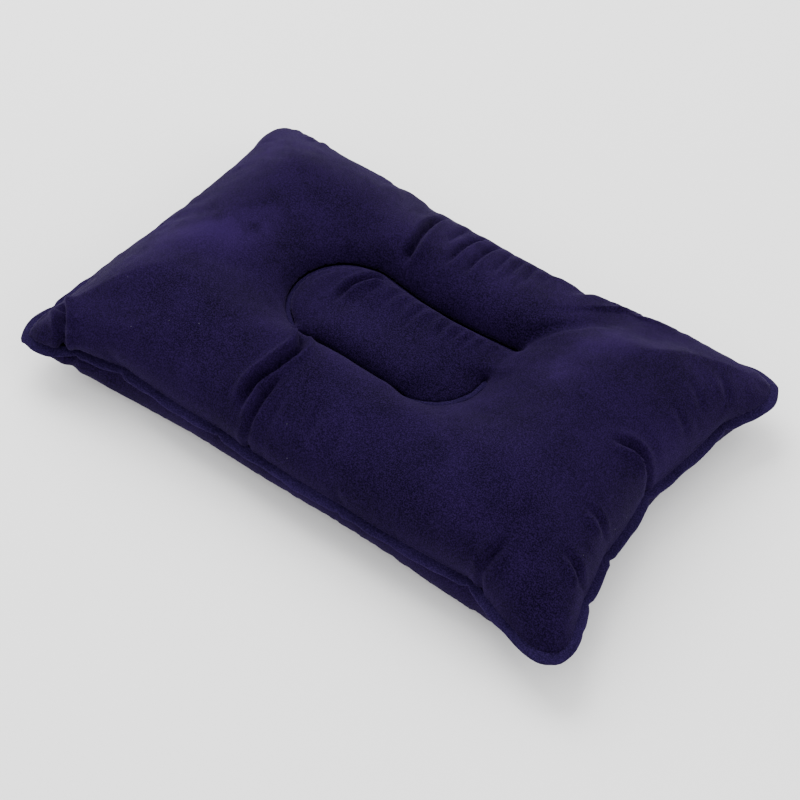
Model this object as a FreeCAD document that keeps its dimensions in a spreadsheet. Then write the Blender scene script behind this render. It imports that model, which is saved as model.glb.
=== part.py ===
"""Inflatable camp pillow: two flocked film sheets welded round the rim and along two J-shaped
seams, with a push-in mouth valve in the lower sheet near one corner.

Frame: origin on the supporting surface under the middle of the pillow, +X along its length,
+Z up. All sizes are millimetres.
"""
import FreeCAD, Part
import math
import os

import Sketcher

doc = FreeCAD.newDocument("camp_pillow")

# ---------------------------------------------------------------- driving dimensions
DRIVING_SIZES = [
    # the rim weld line, seen from above, when the pillow is full of air
    ("half_length", 150.5, "centre to the rim weld at a short end, measured at the corners"),
    ("half_width", 99.0, "centre to the rim weld at a long side, measured at the corners"),
    ("corner_radius", 12.0, "radius of the rim weld round each corner"),
    ("long_side_pull", 14.0, "how far the middle of each long side is drawn in"),
    ("short_side_pull", 12.0, "how far the middle of each short side is drawn in"),
    ("flange_width", 4.5, "welded flange outside the rim weld line"),
    ("flange_thickness", 1.6, "two films and their flock, pressed together"),
    # the films
    ("film", 1.0, "one film with its flock"),
    ("rim_height", 27.0, "height of the rim plane above the supporting surface"),
    ("end_crown", 26.2, "rise of each film above the rim plane in the two end lobes"),
    ("side_crown", 22.0, "the same in the strips beside the seams and in the island"),
    ("edge_rise", 38.0, "distance from the rim weld to the crown"),
    ("seam_rise", 27.0, "distance from a seam to the crown"),
    ("seam_gap", 1.35, "half the gap between the outer surfaces at a weld"),
    ("seam_floor", 5.0, "distance from a seam's middle where the films start to rise"),
    ("lobe_start", 45.0, "distance from the middle where the films begin to rise to the end crown"),
    ("lobe_full", 92.0, "distance from the middle where they have reached it"),
    ("grid_step", 3.5, "spacing of the film surfaces' control net"),
    # the two J-shaped seams, which leave an island between them
    ("island_x", -9.5, "middle of the island"),
    ("island_y", 5.5, "middle of the island"),
    ("seam_radius", 29.0, "radius of the hooked end, and half the island's width"),
    ("seam_half_straight", 21.5, "the island's middle to the start of the hook"),
    ("rear_tail", 29.5, "how far the rear seam's straight end runs past the front seam's hook centre"),
    ("rear_hook", 150.0, "degrees that the rear seam's hook turns through"),
    ("front_tail", 8.0, "how far the front seam's straight end runs past the rear seam's hook centre"),
    ("front_hook", 95.0, "degrees that the front seam's hook turns through"),
    ("seam_width", 3.0, "width of the fused band"),
    # where the valve sits, and the flat that its base gives the lower film
    ("valve_x", -127.0, "valve centre"),
    ("valve_y", 76.0, "valve centre"),
    ("valve_z", 7.2, "valve centre, on the film's outer face"),
    ("valve_tilt", 24.0, "degrees between the valve's axis and straight down"),
    ("valve_heading", 135.0, "degrees from +X to the way that the axis leans"),
    ("flat_radius", 15.0, "radius of the flat round the valve"),
    ("flat_blend", 30.0, "radius where the flat has run out"),
    ("hole_depth", 12.0, "length of the tool that cuts the valve's hole in the lower film"),
    # the valve, measured along its axis from the film's outer face
    ("base_radius", 14.0, "edge of the base disc, welded into the film"),
    ("base_thickness", 1.2, "thickness of the base disc"),
    ("well_radius", 8.0, "bore of the well that the stem is pushed into"),
    ("well_wall", 1.2, "wall of the well"),
    ("well_depth", 13.0, "depth of the well"),
    ("bead_radius", 10.2, "outside of the raised bead round the mouth"),
    ("bead_height", 0.5, "height of that bead"),
    ("bead_slope", 0.4, "width of the bead's sloping outer side"),
    ("running_gap", 0.05, "radial clearance of sliding pieces"),
    ("stem_radius", 4.6, "outside of the stem tube"),
    ("stem_bore", 3.2, "inside of the stem tube"),
    ("stem_mouth", 2.6, "depth of the stem's mouth when pushed in"),
    ("stem_end", 20.0, "depth of the stem's inner end"),
    ("stem_lip", 5.6, "radius of the lip that the mouthpiece ends in"),
    ("stem_lip_height", 1.0, "height of that lip"),
    ("ring_top", 10.4, "depth of the guide ring's outer face"),
    ("ring_thickness", 1.6, "thickness of the guide ring"),
    ("plug_head_radius", 5.4, "radius of the plug's head"),
    ("plug_head_height", 1.7, "height of the plug's head"),
    ("plug_edge", 0.5, "chamfer round the plug's head"),
    ("plug_shank", 7.0, "length of the plug's shank"),
    ("plug_tip", 2.7, "radius of the shank's tapered end"),
    ("plug_taper", 1.5, "length of that taper"),
    ("grip_length", 7.6, "length of the finger ridge on the plug"),
    ("grip_width", 1.5, "width of that ridge"),
    ("grip_height", 0.7, "height of that ridge"),
    ("grip_root", 0.4, "how far that ridge is sunk into the head"),
    ("flap_radius", 4.4, "radius of the check flap"),
    ("flap_thickness", 0.5, "thickness of the check flap"),
    ("flap_gap", 0.1, "gap between the flap and the stem's end"),
    ("strap_width", 2.6, "width of the plug's strap"),
    ("strap_thickness", 0.7, "thickness of the strap"),
    ("strap_reach", 7.3, "how far the strap's bend stands from the axis"),
    ("strap_root", 7.6, "depth where the strap meets the stem"),
]

sheet = doc.addObject("Spreadsheet::Sheet", "Sizes")
SIZE = {}
for row, (alias, value, meaning) in enumerate(DRIVING_SIZES, start=1):
    sheet.set(f"A{row}", alias)
    sheet.set(f"B{row}", str(value))
    sheet.set(f"C{row}", meaning)
    sheet.setAlias(f"B{row}", alias)
    SIZE[alias] = value
doc.recompute()


def value_of(terms):
    """Millimetres of a sum of sheet names and numbers, such as 'well_radius + well_wall'."""
    total, sign = 0.0, 1.0
    for word in terms.split():
        if word in ("+", "-"):
            sign = 1.0 if word == "+" else -1.0
        else:
            total += sign * (SIZE[word] if word in SIZE else float(word))
    return total


def bound(terms):
    """The same sum as an expression on the spreadsheet's cells."""
    return " ".join("Sizes." + word if word in SIZE else word for word in terms.split())


# ---------------------------------------------------------------- sketch helpers
ORIGIN = (-1, 1)
START, END, CENTRE = 1, 2, 3


def new_body(name):
    body = doc.addObject("PartDesign::Body", name)
    body.Label = name
    return body


def new_sketch(body, name, plane_role):
    sketch = body.newObject("Sketcher::SketchObject", name)
    plane = next(part for part in body.Origin.OriginFeatures if part.Role == plane_role)
    sketch.AttachmentSupport = (plane, [""])
    sketch.MapMode = "FlatFace"
    return sketch


def drive(sketch, constraint, terms):
    """Add a dimensional constraint and bind it to the spreadsheet."""
    index = sketch.addConstraint(constraint)
    sketch.setExpression(f"Constraints[{index}]", bound(terms))
    return index


def place_point(sketch, geometry, point, across, up):
    """Fix a point of the sketch at (across, up), each a sum of sheet names."""
    for kind, terms in (("DistanceX", across), ("DistanceY", up)):
        constraint = Sketcher.Constraint(kind, *ORIGIN, geometry, point, value_of(terms))
        drive(sketch, constraint, terms)


def revolved(body, name, profile):
    """Turn a closed profile, given as (radius, height) sums, round the body's own Z."""
    sketch = new_sketch(body, name + "_profile", "XZ_Plane")
    points = [FreeCAD.Vector(value_of(r), value_of(z), 0) for r, z in profile]
    count = len(points)
    for i in range(count):
        sketch.addGeometry(Part.LineSegment(points[i], points[(i + 1) % count]), False)
    for i in range(count):
        sketch.addConstraint(Sketcher.Constraint("Coincident", i, END, (i + 1) % count, START))
    for i, (radius, height) in enumerate(profile):
        place_point(sketch, i, START, radius, height)
    turn = body.newObject("PartDesign::Revolution", name + "_turn")
    turn.Profile = sketch
    turn.ReferenceAxis = (sketch, ["V_Axis"])
    turn.Angle = 360
    return turn


def padded_up(body, name, sketch, length):
    """Extrude a sketch by a sheet sum, half to each side of its plane."""
    pad = body.newObject("PartDesign::Pad", name)
    pad.Profile = sketch
    pad.setExpression("Length", bound(length))
    pad.SideType = "Symmetric"
    return pad


# ---------------------------------------------------------------- the rim's outline
SIDE_RADIUS = "(pow({chord}; 2) + pow({pull}; 2)) / (2 * {pull})"


def rim_loop(sketch, grow):
    """One closed loop along the rim: four corner arcs joined by four inward-bowed side arcs.

    grow moves the whole loop outward from the rim weld line. Corner k spans k to k + 1
    quarter turns, and side k runs between corners k and k + 1."""
    first = sketch.GeometryCount
    radius_terms = f"corner_radius {grow}"
    radius = value_of(radius_terms)
    centre_x, centre_y = value_of("half_length - corner_radius"), value_of("half_width - corner_radius")
    signs = [(1, 1), (-1, 1), (-1, -1), (1, -1)]
    normal = FreeCAD.Vector(0, 0, 1)
    for k, (sx, sy) in enumerate(signs):
        circle = Part.Circle(FreeCAD.Vector(sx * centre_x, sy * centre_y, 0), normal, radius)
        sketch.addGeometry(Part.ArcOfCircle(circle, k * math.pi / 2, (k + 1) * math.pi / 2), False)
    for k in range(4):
        long_side = k % 2 == 0
        pull = SIZE["long_side_pull" if long_side else "short_side_pull"]
        chord = centre_x if long_side else centre_y
        reach = (centre_y if long_side else centre_x) + radius
        bow = (chord ** 2 + pull ** 2) / (2 * pull)
        half_angle = math.asin(chord / bow)
        outward = math.pi / 2 * (k + 1)
        far = reach - pull + bow
        centre = FreeCAD.Vector(far * math.cos(outward), far * math.sin(outward), 0)
        middle = outward + math.pi
        arc = Part.ArcOfCircle(Part.Circle(centre, normal, bow), middle - half_angle, middle + half_angle)
        sketch.addGeometry(arc, False)
    for k, (sx, sy) in enumerate(signs):
        corner = first + k
        for kind, sign, terms in (
            ("DistanceX", sx, "half_length - corner_radius"),
            ("DistanceY", sy, "half_width - corner_radius"),
        ):
            index = sketch.addConstraint(
                Sketcher.Constraint(kind, *ORIGIN, corner, CENTRE, sign * value_of(terms)))
            sketch.setExpression(f"Constraints[{index}]", f"{sign} * ({bound(terms)})")
        drive(sketch, Sketcher.Constraint("Radius", corner, radius), radius_terms)
        along = ("Horizontal", "Vertical") if k % 2 == 0 else ("Vertical", "Horizontal")
        for kind, point in zip(along, (START, END)):
            sketch.addConstraint(Sketcher.Constraint(kind, corner, point, corner, CENTRE))
    for k in range(4):
        side, corner, following = first + 4 + k, first + k, first + (k + 1) % 4
        sketch.addConstraint(Sketcher.Constraint("Coincident", side, END, corner, END))
        sketch.addConstraint(Sketcher.Constraint("Coincident", side, START, following, START))
        chord, pull = ("half_length", "long_side_pull") if k % 2 == 0 else ("half_width", "short_side_pull")
        bow = sketch.Geometry[side].Radius
        index = sketch.addConstraint(Sketcher.Constraint("Radius", side, bow))
        sketch.setExpression(f"Constraints[{index}]", SIDE_RADIUS.format(
            chord=f"Sizes.{chord} - Sizes.corner_radius", pull=f"Sizes.{pull}"))


def rim_prism(name, loops, height):
    """A pad of one or two rim loops, centred on the rim plane."""
    body = new_body(name)
    sketch = new_sketch(body, name + "_outline", "XY_Plane")
    for grow in loops:
        rim_loop(sketch, grow)
    padded_up(body, name + "_pad", sketch, height)
    body.setExpression("Placement.Base.z", "Sizes.rim_height")
    return body


# ---------------------------------------------------------------- the shape of the films
def rise(distance, reach):
    """0 at a weld, 1 from reach on: the square of a quarter ellipse."""
    part = min(1.0, max(0.0, distance / reach))
    return 1.0 - (1.0 - part) ** 2


def smooth(low, high, value):
    part = min(1.0, max(0.0, (value - low) / (high - low)))
    return part * part * (3.0 - 2.0 * part)


def distance_to_seam(x, y, tail, hook):
    """Distance to a seam's centreline, from the island's middle: a straight run, then the hook."""
    radius, straight = SIZE["seam_radius"], SIZE["seam_half_straight"]
    nearest_x = min(straight + tail, max(-straight, x))
    to_straight = math.hypot(x - nearest_x, y - radius)
    angle = math.degrees(math.atan2(y, x + straight)) % 360
    hook_end = 90 + hook
    if 90 <= angle <= hook_end:
        return min(to_straight, abs(math.hypot(x + straight, y) - radius))
    end = math.radians(hook_end)
    end_x, end_y = -straight + radius * math.cos(end), radius * math.sin(end)
    return min(to_straight, math.hypot(x - end_x, y - end_y))


def film_height(x, y):
    """Height of the upper film's outer face above the rim plane."""
    half_length, half_width = SIZE["half_length"], SIZE["half_width"]
    from_end = half_length - SIZE["short_side_pull"] * (1 - min(1, (y / half_width) ** 2)) - abs(x)
    from_side = half_width - SIZE["long_side_pull"] * (1 - min(1, (x / half_length) ** 2)) - abs(y)
    in_x, in_y = x - SIZE["island_x"], y - SIZE["island_y"]
    to_rear = distance_to_seam(in_x, in_y, SIZE["rear_tail"], SIZE["rear_hook"])
    to_front = distance_to_seam(-in_x, -in_y, SIZE["front_tail"], SIZE["front_hook"])
    seam = min(to_rear, to_front) - SIZE["seam_floor"]
    lobe = smooth(SIZE["lobe_start"], SIZE["lobe_full"], abs(x))
    crown = SIZE["side_crown"] + (SIZE["end_crown"] - SIZE["side_crown"]) * lobe
    fullness = rise(from_end, SIZE["edge_rise"]) * rise(from_side, SIZE["edge_rise"])
    return SIZE["seam_gap"] + crown * math.sqrt(fullness * rise(seam, SIZE["seam_rise"]))


VALVE_HEADING = math.radians(SIZE["valve_heading"])
VALVE_TILT = math.radians(SIZE["valve_tilt"])


def lower_film_height(x, y):
    """Depth of the lower film's outer face below the rim plane, flat round the valve."""
    away_x, away_y = x - SIZE["valve_x"], y - SIZE["valve_y"]
    uphill = away_x * math.cos(VALVE_HEADING) + away_y * math.sin(VALVE_HEADING)
    flat = SIZE["rim_height"] - SIZE["valve_z"] - uphill * math.tan(VALVE_TILT)
    free = smooth(SIZE["flat_radius"], SIZE["flat_blend"], math.hypot(away_x, away_y))
    return flat + (film_height(x, y) - flat) * free


def clamped_knots(count, degree):
    """Knots 0 to 1 and their multiplicities for a clamped B-spline with count poles."""
    spans = count - degree
    knots = [i / spans for i in range(spans + 1)]
    return knots, [degree + 1] + [1] * (spans - 1) + [degree + 1]


def film_face(height, side, inset):
    """A bicubic face over the whole pillow: its control net lies on the film's outer face.

    side is 1 for the upper film and -1 for the lower one; inset moves it inward."""
    degree = 3
    margin = 4 * SIZE["grid_step"]
    reach_x, reach_y = SIZE["half_length"] + margin, SIZE["half_width"] + margin
    count_x = 2 * round(reach_x / SIZE["grid_step"]) + 1
    count_y = 2 * round(reach_y / SIZE["grid_step"]) + 1
    poles = []
    for i in range(count_x):
        x = reach_x * (2 * i / (count_x - 1) - 1)
        column = []
        for j in range(count_y):
            y = reach_y * (2 * j / (count_y - 1) - 1)
            column.append(FreeCAD.Vector(x, y, SIZE["rim_height"] + side * (height(x, y) - inset)))
        poles.append(column)
    knots_x, mults_x = clamped_knots(count_x, degree)
    knots_y, mults_y = clamped_knots(count_y, degree)
    surface = Part.BSplineSurface()
    surface.buildFromPolesMultsKnots(poles, mults_x, mults_y, knots_x, knots_y, False, False, degree, degree)
    return surface.toShape()


def film_block(name, height, side, inset):
    """Everything between a film face and the rim plane, before it is trimmed to the rim."""
    block = doc.addObject("Part::Feature", name)
    face = film_face(height, side, inset)
    depth = 2 * (SIZE["rim_height"] + SIZE["end_crown"])
    solid = face.extrude(FreeCAD.Vector(0, 0, -side * depth))
    far = SIZE["half_length"] + SIZE["half_width"]
    floor = SIZE["rim_height"] if side > 0 else inset
    ceiling = SIZE["rim_height"] + depth if side > 0 else SIZE["rim_height"]
    slab = Part.makeBox(2 * far, 2 * far, ceiling - floor, FreeCAD.Vector(-far, -far, floor))
    block.Shape = solid.common(slab)
    return block


def common_of(name, first, second):
    common = doc.addObject("Part::Common", name)
    common.Base, common.Tool = first, second
    return common


def cut_from(name, base, tool):
    cut = doc.addObject("Part::Cut", name)
    cut.Base, cut.Tool = base, tool
    cut.Label = name
    return cut


# ---------------------------------------------------------------- rim weld and films
rim_weld = rim_prism("rim_weld", ["+ flange_width", "+ 0"], "flange_thickness")
tall = "rim_height + rim_height + end_crown + end_crown"
outer_trim = rim_prism("outer_trim", ["+ 0"], tall)
chamber_trim = rim_prism("chamber_trim", ["- film"], tall)

upper_outer = common_of("upper_outer", film_block("upper_block", film_height, 1, 0.0), outer_trim)
upper_air = common_of(
    "upper_air", film_block("upper_air_block", film_height, 1, SIZE["film"]), chamber_trim)
lower_outer = common_of("lower_outer", film_block("lower_block", lower_film_height, -1, 0.0), outer_trim)
lower_air = common_of(
    "lower_air", film_block("lower_air_block", lower_film_height, -1, SIZE["film"]), chamber_trim)

top_panel = cut_from("top_panel", upper_outer, upper_air)


# ---------------------------------------------------------------- the valve's own frame
def on_valve_axis(obj):
    """Stand an object, modelled with +Z out of the pillow, at the valve."""
    across = math.sin(VALVE_TILT)
    axis = FreeCAD.Vector(
        across * math.cos(VALVE_HEADING), across * math.sin(VALVE_HEADING), -math.cos(VALVE_TILT))
    centre = FreeCAD.Vector(SIZE["valve_x"], SIZE["valve_y"], SIZE["valve_z"])
    turn = FreeCAD.Rotation(FreeCAD.Vector(0, 0, 1), axis)
    obj.Placement = FreeCAD.Placement(centre, turn)


# a round hole through the lower film, which the valve's base is welded into
film_hole = doc.addObject("Part::Cylinder", "film_hole")
film_hole.setExpression("Radius", "Sizes.base_radius")
film_hole.setExpression("Height", "Sizes.hole_depth")
film_hole_spot = FreeCAD.Vector(0, 0, -SIZE["hole_depth"] / 2)
on_valve_axis(film_hole)
film_hole.Placement = film_hole.Placement.multiply(FreeCAD.Placement(film_hole_spot, FreeCAD.Rotation()))
lower_shell = cut_from("lower_shell", lower_outer, lower_air)
bottom_panel = cut_from("bottom_panel", lower_shell, film_hole)


# ---------------------------------------------------------------- the two J-shaped seams
def seam_band(name, side, half_turn):
    """The fused band of one seam as a tall prism, drawn as the rear seam and then turned by half_turn."""
    body = new_body(name + "_band")
    sketch = new_sketch(body, name + "_outline", "XY_Plane")
    radius, straight = SIZE["seam_radius"], SIZE["seam_half_straight"]
    half = SIZE["seam_width"] / 2
    tail_x = straight + SIZE[side + "_tail"]
    hook_end = math.radians(90 + SIZE[side + "_hook"])
    centre = FreeCAD.Vector(-straight, 0, 0)
    normal = FreeCAD.Vector(0, 0, 1)

    def point(x, y):
        return FreeCAD.Vector(x, y, 0)

    def hook_point(r):
        return point(-straight + r * math.cos(hook_end), r * math.sin(hook_end))

    outer, inner = radius + half, radius - half
    sketch.addGeometry(Part.LineSegment(point(tail_x, outer), point(-straight, outer)), False)
    sketch.addGeometry(Part.ArcOfCircle(Part.Circle(centre, normal, outer), math.pi / 2, hook_end), False)
    sketch.addGeometry(Part.LineSegment(hook_point(outer), hook_point(inner)), False)
    sketch.addGeometry(Part.ArcOfCircle(Part.Circle(centre, normal, inner), math.pi / 2, hook_end), False)
    sketch.addGeometry(Part.LineSegment(point(-straight, inner), point(tail_x, inner)), False)
    sketch.addGeometry(Part.LineSegment(point(tail_x, inner), point(tail_x, outer)), False)
    top_line, outer_arc, hook_cap, inner_arc, low_line, tail_cap = range(6)
    joined = [
        (top_line, END, outer_arc, START), (outer_arc, END, hook_cap, START),
        (hook_cap, END, inner_arc, END), (inner_arc, START, low_line, START),
        (low_line, END, tail_cap, START), (tail_cap, END, top_line, START),
        (outer_arc, CENTRE, inner_arc, CENTRE),
    ]
    for pair in joined:
        sketch.addConstraint(Sketcher.Constraint("Coincident", *pair))
    sketch.addConstraint(Sketcher.Constraint("Horizontal", top_line))
    sketch.addConstraint(Sketcher.Constraint("Horizontal", low_line))
    sketch.addConstraint(Sketcher.Constraint("Vertical", tail_cap))
    sketch.addConstraint(Sketcher.Constraint("Vertical", outer_arc, START, outer_arc, CENTRE))
    sketch.addConstraint(Sketcher.Constraint("Vertical", inner_arc, START, inner_arc, CENTRE))
    sketch.addConstraint(Sketcher.Constraint("PointOnObject", outer_arc, CENTRE, hook_cap))
    sketch.addConstraint(Sketcher.Constraint("PointOnObject", outer_arc, CENTRE, -1))
    for arc, r, sign in ((outer_arc, outer, "+"), (inner_arc, inner, "-")):
        index = sketch.addConstraint(Sketcher.Constraint("Radius", arc, r))
        sketch.setExpression(f"Constraints[{index}]", f"Sizes.seam_radius {sign} Sizes.seam_width / 2")
    index = sketch.addConstraint(Sketcher.Constraint("DistanceX", outer_arc, CENTRE, *ORIGIN, straight))
    sketch.setExpression(f"Constraints[{index}]", "Sizes.seam_half_straight")
    drive(sketch, Sketcher.Constraint("DistanceX", *ORIGIN, tail_cap, START, tail_x),
          f"seam_half_straight + {side}_tail")
    sweep = math.radians(SIZE[side + "_hook"])
    index = sketch.addConstraint(Sketcher.Constraint("Angle", outer_arc, sweep))
    sketch.setExpression(f"Constraints[{index}]", f"Sizes.{side}_hook * 1 deg")
    padded_up(body, name + "_pad", sketch, "rim_height")
    turn = FreeCAD.Rotation(FreeCAD.Vector(0, 0, 1), half_turn)
    middle = FreeCAD.Vector(SIZE["island_x"], SIZE["island_y"], SIZE["rim_height"])
    body.Placement = FreeCAD.Placement(middle, turn)
    return body


def seam(name, side, half_turn, chamber):
    """The fused film of one seam: its band, as thick as the gap that the films leave there."""
    fused = common_of(name, seam_band(name, side, half_turn), chamber)
    fused.Label = name
    return fused


air = doc.addObject("Part::Fuse", "air")
air.Base, air.Tool = upper_air, lower_air
rear_weld = seam("rear_weld", "rear", 0, air)
front_weld = seam("front_weld", "front", 180, air)


# ---------------------------------------------------------------- the valve
def valve_piece(name, profile):
    body = new_body(name)
    revolved(body, name, profile)
    on_valve_axis(body)
    return body


well_outer = "well_radius + well_wall"
valve_base = valve_piece("valve_base", [
    ("well_radius", "bead_height"), ("bead_radius - bead_slope", "bead_height"), ("bead_radius", "0"),
    ("base_radius", "0"), ("base_radius", "- base_thickness"), (well_outer, "- base_thickness"),
    (well_outer, "- well_depth"), ("well_radius", "- well_depth"),
])

ring_radius = "well_radius - running_gap"
valve_stem = valve_piece("valve_stem", [
    ("stem_bore", "- stem_mouth"), ("stem_lip", "- stem_mouth"),
    ("stem_lip", "- stem_mouth - stem_lip_height"), ("stem_radius", "- stem_mouth - stem_lip_height"),
    ("stem_radius", "- ring_top"), (ring_radius, "- ring_top"),
    (ring_radius, "- ring_top - ring_thickness"), ("stem_radius", "- ring_top - ring_thickness"),
    ("stem_radius", "- stem_end"), ("stem_bore", "- stem_end"),
])

shank_radius = "stem_bore - running_gap"
valve_plug = valve_piece("valve_plug", [
    ("0", "- stem_mouth + plug_head_height"),
    ("plug_head_radius - plug_edge", "- stem_mouth + plug_head_height"),
    ("plug_head_radius", "- stem_mouth + plug_head_height - plug_edge"),
    ("plug_head_radius", "- stem_mouth"), (shank_radius, "- stem_mouth"),
    (shank_radius, "- stem_mouth - plug_shank + plug_taper"),
    ("plug_tip", "- stem_mouth - plug_shank"), ("0", "- stem_mouth - plug_shank"),
])


def add_grip(body):
    """The finger ridge across the plug's head."""
    sketch = new_sketch(body, "grip_outline", "XY_Plane")
    half_long, half_wide = SIZE["grip_length"] / 2, SIZE["grip_width"] / 2
    corners = [(1, 1), (-1, 1), (-1, -1), (1, -1)]
    points = [FreeCAD.Vector(sx * half_long, sy * half_wide, 0) for sx, sy in corners]
    for i in range(4):
        sketch.addGeometry(Part.LineSegment(points[i], points[(i + 1) % 4]), False)
    for i in range(4):
        sketch.addConstraint(Sketcher.Constraint("Coincident", i, END, (i + 1) % 4, START))
        sketch.addConstraint(Sketcher.Constraint("Horizontal" if i % 2 == 0 else "Vertical", i))
    sketch.addConstraint(Sketcher.Constraint("Symmetric", 0, START, 1, END, *ORIGIN))
    drive(sketch, Sketcher.Constraint("DistanceX", 0, END, 0, START, 2 * half_long), "grip_length")
    drive(sketch, Sketcher.Constraint("DistanceY", 1, END, 1, START, 2 * half_wide), "grip_width")
    ridge = body.newObject("PartDesign::Pad", "grip_ridge")
    ridge.Profile = sketch
    sketch.setExpression(
        "AttachmentOffset.Base.z", bound("- stem_mouth + plug_head_height - grip_root"))
    ridge.setExpression("Length", bound("grip_height + grip_root"))


add_grip(valve_plug)

flap_top = "- stem_end - flap_gap"
valve_flap = valve_piece("valve_flap", [
    ("0", flap_top), ("flap_radius", flap_top),
    ("flap_radius", flap_top + " - flap_thickness"), ("0", flap_top + " - flap_thickness"),
])


def strap_shape():
    """A flat band from the side of the plug's head, out and back down to the stem."""
    half = SIZE["strap_width"] / 2
    thick = SIZE["strap_thickness"]
    head_x, stem_x, bend_x = SIZE["plug_head_radius"], SIZE["stem_radius"], SIZE["strap_reach"]
    top_z = -SIZE["stem_mouth"] + 0.55 * SIZE["plug_head_height"]
    low_z = -SIZE["strap_root"]
    # the ends are planes that clear the round head by a hair and sink into the round stem
    near_head = head_x + SIZE["running_gap"]
    in_stem = math.sqrt(stem_x ** 2 - half ** 2)
    bend_radius = min(bend_x - near_head, (top_z - low_z) / 2)

    def side(inner):
        """The middle line moved inward by inner: out, round, straight down, round and back."""
        r = bend_radius - inner
        reach = bend_x - inner
        up, down = top_z - inner, low_z + inner
        diagonal = math.sqrt(0.5) * r
        centre_x = reach - r
        start = FreeCAD.Vector(near_head, 0, up)
        first = FreeCAD.Vector(centre_x, 0, up)
        first_middle = FreeCAD.Vector(centre_x + diagonal, 0, up - r + diagonal)
        first_end = FreeCAD.Vector(reach, 0, up - r)
        second = FreeCAD.Vector(reach, 0, down + r)
        second_middle = FreeCAD.Vector(centre_x + diagonal, 0, down + r - diagonal)
        second_end = FreeCAD.Vector(centre_x, 0, down)
        finish = FreeCAD.Vector(in_stem, 0, down)
        edges = [Part.LineSegment(start, first).toShape()] if (first - start).Length > 1e-6 else []
        edges.append(Part.Arc(first, first_middle, first_end).toShape())
        edges.append(Part.LineSegment(first_end, second).toShape())
        edges.append(Part.Arc(second, second_middle, second_end).toShape())
        edges.append(Part.LineSegment(second_end, finish).toShape())
        return edges, start, finish

    outer_edges, outer_start, outer_finish = side(-thick / 2)
    inner_edges, inner_start, inner_finish = side(thick / 2)
    caps = [Part.LineSegment(outer_start, inner_start).toShape(),
            Part.LineSegment(outer_finish, inner_finish).toShape()]
    wire = Part.Wire(Part.__sortEdges__(outer_edges + inner_edges + caps))
    band = Part.Face(wire).extrude(FreeCAD.Vector(0, 2 * half, 0))
    band.translate(FreeCAD.Vector(0, -half, 0))
    tube = Part.makeCylinder(stem_x, SIZE["stem_end"], FreeCAD.Vector(0, 0, -SIZE["stem_end"]))
    return band.cut(tube)


valve_strap = doc.addObject("Part::Feature", "valve_strap")
valve_strap.Shape = strap_shape()
on_valve_axis(valve_strap)

# ---------------------------------------------------------------- checks and files
doc.recompute()

NODES = [top_panel, bottom_panel, rim_weld, rear_weld, front_weld,
         valve_base, valve_stem, valve_plug, valve_strap, valve_flap]

for obj in doc.Objects:
    if "Invalid" in obj.State or "Error" in obj.State:
        raise RuntimeError(f"{obj.Name} did not build: {obj.State}")
for node in NODES:
    if node.Shape.isNull() or not node.Shape.isValid():
        raise RuntimeError(f"{node.Label} has no valid shape")
    box = node.Shape.optimalBoundingBox(False)
    print(f"{node.Label}: {len(node.Shape.Solids)} solid, {node.Shape.Volume / 1000:.2f} cm3, "
          f"z {box.ZMin:.2f} to {box.ZMax:.2f}")

os.makedirs("parts", exist_ok=True)
for node in NODES:
    node.Shape.exportStep(os.path.join("parts", node.Label + ".step"))
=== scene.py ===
"""Looks of the camp pillow: two flocked vinyl films, inflated between their welds, and a valve underneath.

The inflation is simulated; the outline that the rim is pulled to, the creases and the steepening beside
the welds are set to match the photograph.
"""

import math

import bmesh
import bpy
import numpy as np
from mathutils import Matrix, Vector, noise
from mathutils.geometry import delaunay_2d_cdt


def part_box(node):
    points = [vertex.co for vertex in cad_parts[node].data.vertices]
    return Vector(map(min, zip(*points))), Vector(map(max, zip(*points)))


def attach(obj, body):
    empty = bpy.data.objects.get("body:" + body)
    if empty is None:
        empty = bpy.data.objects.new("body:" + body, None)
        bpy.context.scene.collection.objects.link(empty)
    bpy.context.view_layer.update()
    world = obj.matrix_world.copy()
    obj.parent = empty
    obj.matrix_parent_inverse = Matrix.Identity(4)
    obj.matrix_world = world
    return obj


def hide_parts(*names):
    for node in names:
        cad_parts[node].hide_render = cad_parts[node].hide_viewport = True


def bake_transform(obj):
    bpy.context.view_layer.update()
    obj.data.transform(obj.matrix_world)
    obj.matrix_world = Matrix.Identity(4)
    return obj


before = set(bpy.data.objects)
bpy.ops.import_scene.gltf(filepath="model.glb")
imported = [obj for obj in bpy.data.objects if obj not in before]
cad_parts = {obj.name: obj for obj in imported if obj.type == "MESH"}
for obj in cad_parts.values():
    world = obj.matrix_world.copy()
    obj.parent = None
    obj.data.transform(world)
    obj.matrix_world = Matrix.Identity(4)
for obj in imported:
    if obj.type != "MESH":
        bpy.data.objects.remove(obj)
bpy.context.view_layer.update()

MM = 0.001
SEED = 11

# ---------------------------------------------------------------- sizes, in metres
# the flat cut: two equal sheets, welded along this rounded outline
CUT_LENGTH, CUT_WIDTH, CUT_CORNER = 0.323, 0.209, 0.020
CUT_BOW = 0.010            # extra width of the cut beside the seams
FLANGE_WIDTH, FLANGE_THICK = 0.0042, 0.0017
# the J seams: the straight part runs beside the island, the hook goes round its end
SEAM_RADIUS, SEAM_STRAIGHT = 0.029, 0.0215
REAR_TAIL, REAR_HOOK = 0.0295, 150
FRONT_TAIL, FRONT_HOOK = 0.008, 95
SEAM_WIDTH, SEAM_THICK = 0.0022, 0.0014
ISLAND_X, ISLAND_Y = -0.0095, 0.0055   # the island's middle
FILM_THICK = 0.0009
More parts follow.
